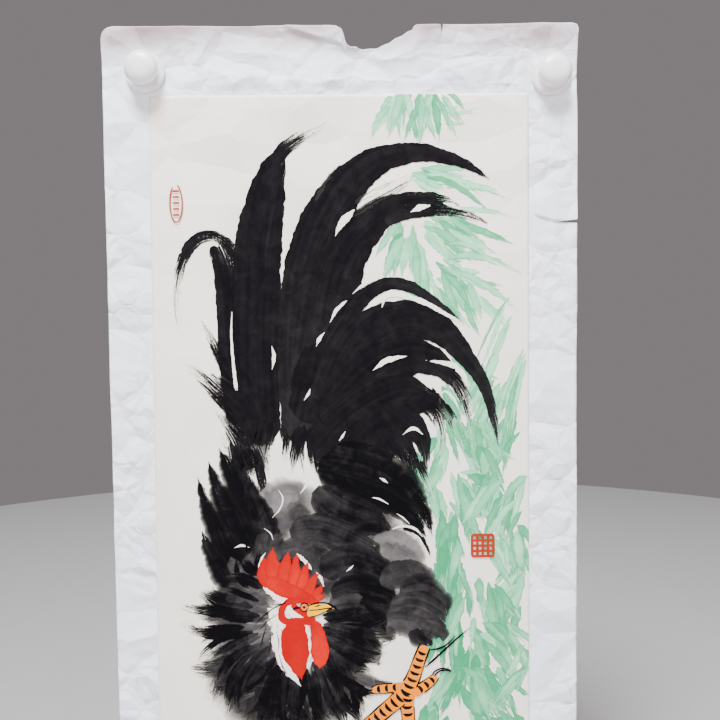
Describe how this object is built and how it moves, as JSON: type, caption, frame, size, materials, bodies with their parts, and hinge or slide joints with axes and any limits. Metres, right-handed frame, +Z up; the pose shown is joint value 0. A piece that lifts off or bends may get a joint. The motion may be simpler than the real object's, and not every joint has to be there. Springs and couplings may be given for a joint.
{
  "type": "magnet-hung brush painting on paper",
  "caption": "Ink-and-colour brush painting of a rooster on thin paper, pasted on a larger backing sheet and hung flat by round knob magnets.",
  "frame": {"origin": "on the back face of the backing sheet, at its mid-width, level with the two magnets and 41.6 mm below its top edge", "axes": "+X to the viewer's right, +Y into the wall (out of the sheet's back), +Z up along the sheet's length"},
  "size_m": [0.431, 0.0234, 0.81],
  "materials": {
    "backing_paper": "matt",
    "painting_paper": "matt",
    "knob_plastic": "satin",
    "cup_steel": "zinc plated",
    "magnet_nickel": "nickel plated",
    "grip_pad": "matt"
  },
  "bodies": {
    "held_edge": {"backing_sheet_top": "backing_paper", "painting_sheet_top": "painting_paper"},
    "hanging_sheet": {"backing_sheet_lower": "backing_paper", "painting_sheet_lower": "painting_paper"},
    "left_knob": {"left_knob_cap": "knob_plastic", "left_knob_base": "knob_plastic", "left_steel_cup": "cup_steel", "left_disc_magnet": "magnet_nickel", "left_grip_pad": "grip_pad"},
    "right_knob": {"right_knob_cap": "knob_plastic", "right_knob_base": "knob_plastic", "right_steel_cup": "cup_steel", "right_disc_magnet": "magnet_nickel", "right_grip_pad": "grip_pad"}
  },
  "joints": [
    {"name": "sheet_lift", "type": "hinge", "parent": "held_edge", "child": "hanging_sheet", "pos_m": [0, -0.0006, -0.07015], "axis": [-1, 0, 0], "range_deg": [0, 75]},
    {"name": "left_knob_pull", "type": "slide", "parent": "held_edge", "child": "left_knob", "axis": [0, -1, 0], "range_m": [0, 0.03]},
    {"name": "right_knob_pull", "type": "slide", "parent": "held_edge", "child": "right_knob", "axis": [0, -1, 0], "range_m": [0, 0.03]}
  ]
}
